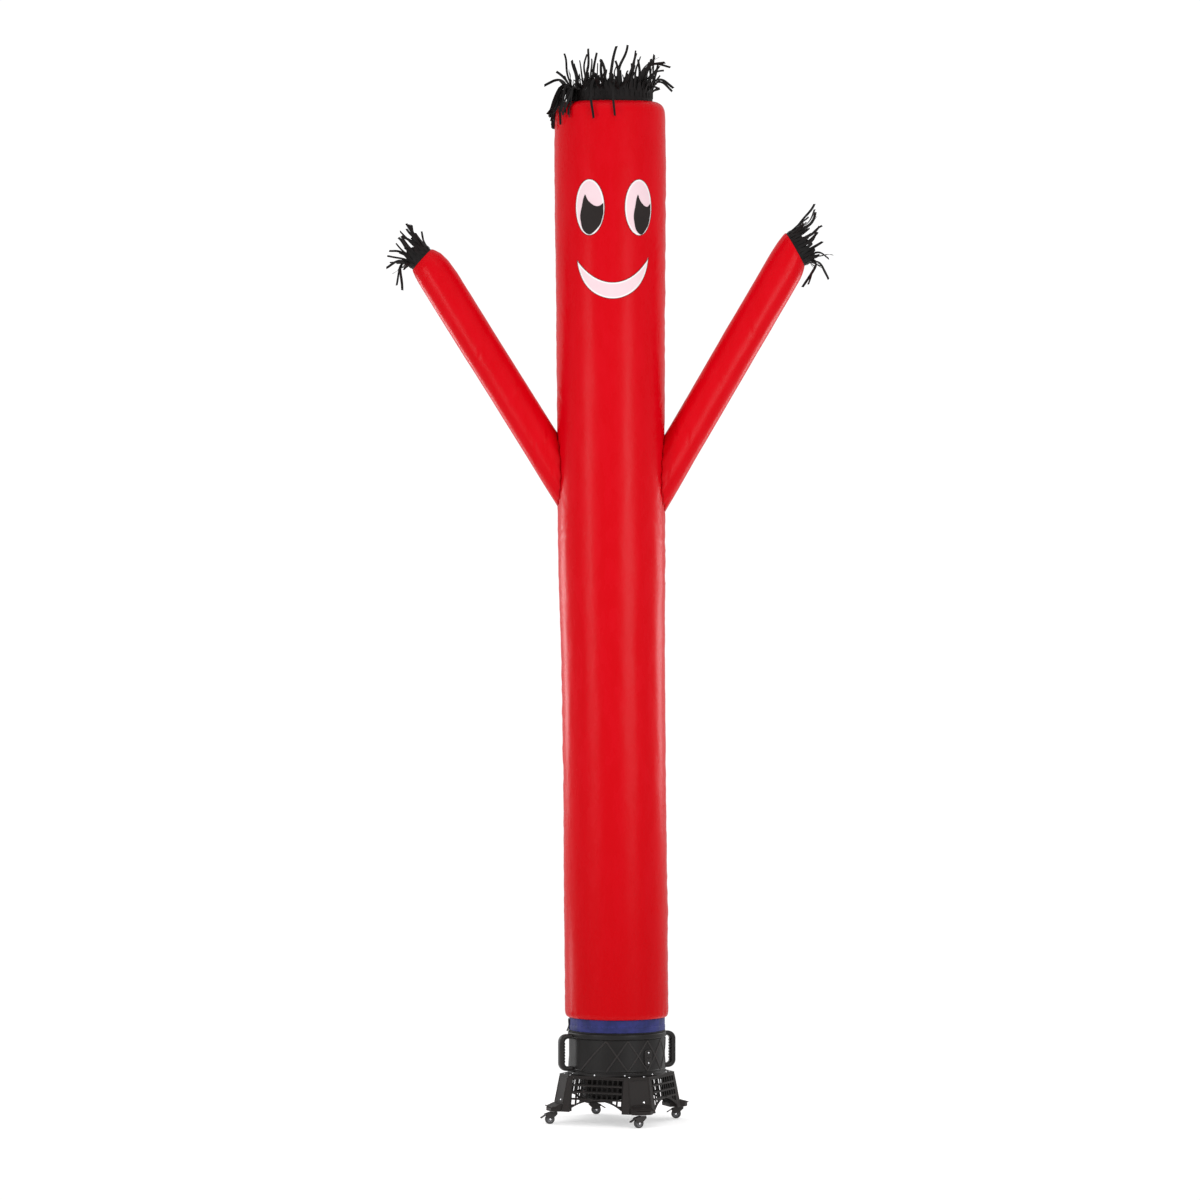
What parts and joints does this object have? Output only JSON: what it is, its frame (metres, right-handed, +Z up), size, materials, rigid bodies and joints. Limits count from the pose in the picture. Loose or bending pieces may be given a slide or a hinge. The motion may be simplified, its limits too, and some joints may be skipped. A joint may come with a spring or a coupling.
{
  "type": "inflatable air dancer with fan blower",
  "caption": "Tall inflated cloth tube with raised arms, a smiling face and black fringe, standing on a round fan blower with a square base on casters.",
  "frame": {"origin": "on the floor, under the middle of the part's bounding box; the blower's axis stands 28 mm to the +X side", "axes": "+Z up, the face looks along -Y, +X to the viewer's right"},
  "size_m": [1.2716, 0.4008, 3.052],
  "materials": {
    "red_nylon": "satin",
    "black_nylon": "matte",
    "white_nylon": "matte",
    "blue_nylon": "matte",
    "black_webbing": "matte",
    "black_plastic": "satin",
    "motor_steel": "satin",
    "caster_rubber": "satin"
  },
  "bodies": {
    "blower_and_tube": {"torso_tube": "red_nylon", "arm_left": "red_nylon", "arm_right": "red_nylon", "hair_fringe": "black_nylon", "hand_fringe_left": "black_nylon", "hand_fringe_right": "black_nylon", "eye_white_left": "white_nylon", "eye_white_right": "white_nylon", "eye_pupil_left": "black_nylon", "eye_pupil_right": "black_nylon", "smile": "white_nylon", "cuff_band": "blue_nylon", "cuff_hem": "black_webbing", "closure_tab": "black_webbing", "drum": "black_plastic", "inlet_plate": "black_plastic", "handle_left": "black_nylon", "handle_right": "black_nylon", "fan_guard": "black_plastic", "motor": "motor_steel", "impeller": "black_plastic", "base_deck": "black_plastic", "leg_left": "black_plastic", "leg_front": "black_plastic", "leg_right": "black_plastic", "leg_back": "black_plastic", "grille_front_left": "black_plastic", "grille_front_right": "black_plastic", "grille_back_left": "black_plastic", "grille_back_right": "black_plastic"},
    "swivel_left": {"fork_left": "black_plastic"},
    "roller_left": {"wheel_left": "caster_rubber"},
    "brake_left": {"pedal_left": "black_plastic"},
    "swivel_front": {"fork_front": "black_plastic"},
    "roller_front": {"wheel_front": "caster_rubber"},
    "brake_front": {"pedal_front": "black_plastic"},
    "swivel_right": {"fork_right": "black_plastic"},
    "roller_right": {"wheel_right": "caster_rubber"},
    "brake_right": {"pedal_right": "black_plastic"},
    "swivel_back": {"fork_back": "black_plastic"},
    "roller_back": {"wheel_back": "caster_rubber"},
    "brake_back": {"pedal_back": "black_plastic"}
  },
  "joints": [
    {"name": "swivel_left", "type": "hinge", "parent": "blower_and_tube", "child": "swivel_left", "pos_m": [-0.15169, -0.07042, 0.0367], "axis": [0, 0, 1], "continuous": true},
    {"name": "roll_left", "type": "hinge", "parent": "swivel_left", "child": "roller_left", "pos_m": [-0.16227, -0.07345, 0.0135], "axis": [-0.2756, 0.9613, 0], "continuous": true},
    {"name": "press_left", "type": "hinge", "parent": "swivel_left", "child": "brake_left", "pos_m": [-0.17332, -0.07662, 0.0268], "axis": [0.2756, -0.9613, 0], "range_deg": [0, 18]},
    {"name": "swivel_front", "type": "hinge", "parent": "blower_and_tube", "child": "swivel_front", "pos_m": [0.09842, -0.17969, 0.0367], "axis": [0, 0, 1], "continuous": true},
    {"name": "roll_front", "type": "hinge", "parent": "swivel_front", "child": "roller_front", "pos_m": [0.08837, -0.18417, 0.0135], "axis": [-0.4067, 0.9135, 0], "continuous": true},
    {"name": "press_front", "type": "hinge", "parent": "swivel_front", "child": "brake_front", "pos_m": [0.07787, -0.18885, 0.0268], "axis": [0.4067, -0.9135, 0], "range_deg": [0, 18]},
    {"name": "swivel_right", "type": "hinge", "parent": "blower_and_tube", "child": "swivel_right", "pos_m": [0.20769, 0.07042, 0.0367], "axis": [0, 0, 1], "continuous": true},
    {"name": "roll_right", "type": "hinge", "parent": "swivel_right", "child": "roller_right", "pos_m": [0.1968, 0.07195, 0.0135], "axis": [0.1392, 0.9903, 0], "continuous": true},
    {"name": "press_right", "type": "hinge", "parent": "swivel_right", "child": "brake_right", "pos_m": [0.18541, 0.07355, 0.0268], "axis": [-0.1392, -0.9903, 0], "range_deg": [0, 18]},
    {"name": "swivel_back", "type": "hinge", "parent": "blower_and_tube", "child": "swivel_back", "pos_m": [-0.04242, 0.17969, 0.0367], "axis": [0, 0, 1], "continuous": true},
    {"name": "roll_back", "type": "hinge", "parent": "swivel_back", "child": "roller_back", "pos_m": [-0.03166, 0.18198, 0.0135], "axis": [0.2079, -0.9781, 0], "continuous": true},
    {"name": "press_back", "type": "hinge", "parent": "swivel_back", "child": "brake_back", "pos_m": [-0.02041, 0.18437, 0.0268], "axis": [-0.2079, 0.9781, 0], "range_deg": [0, 18]}
  ]
}
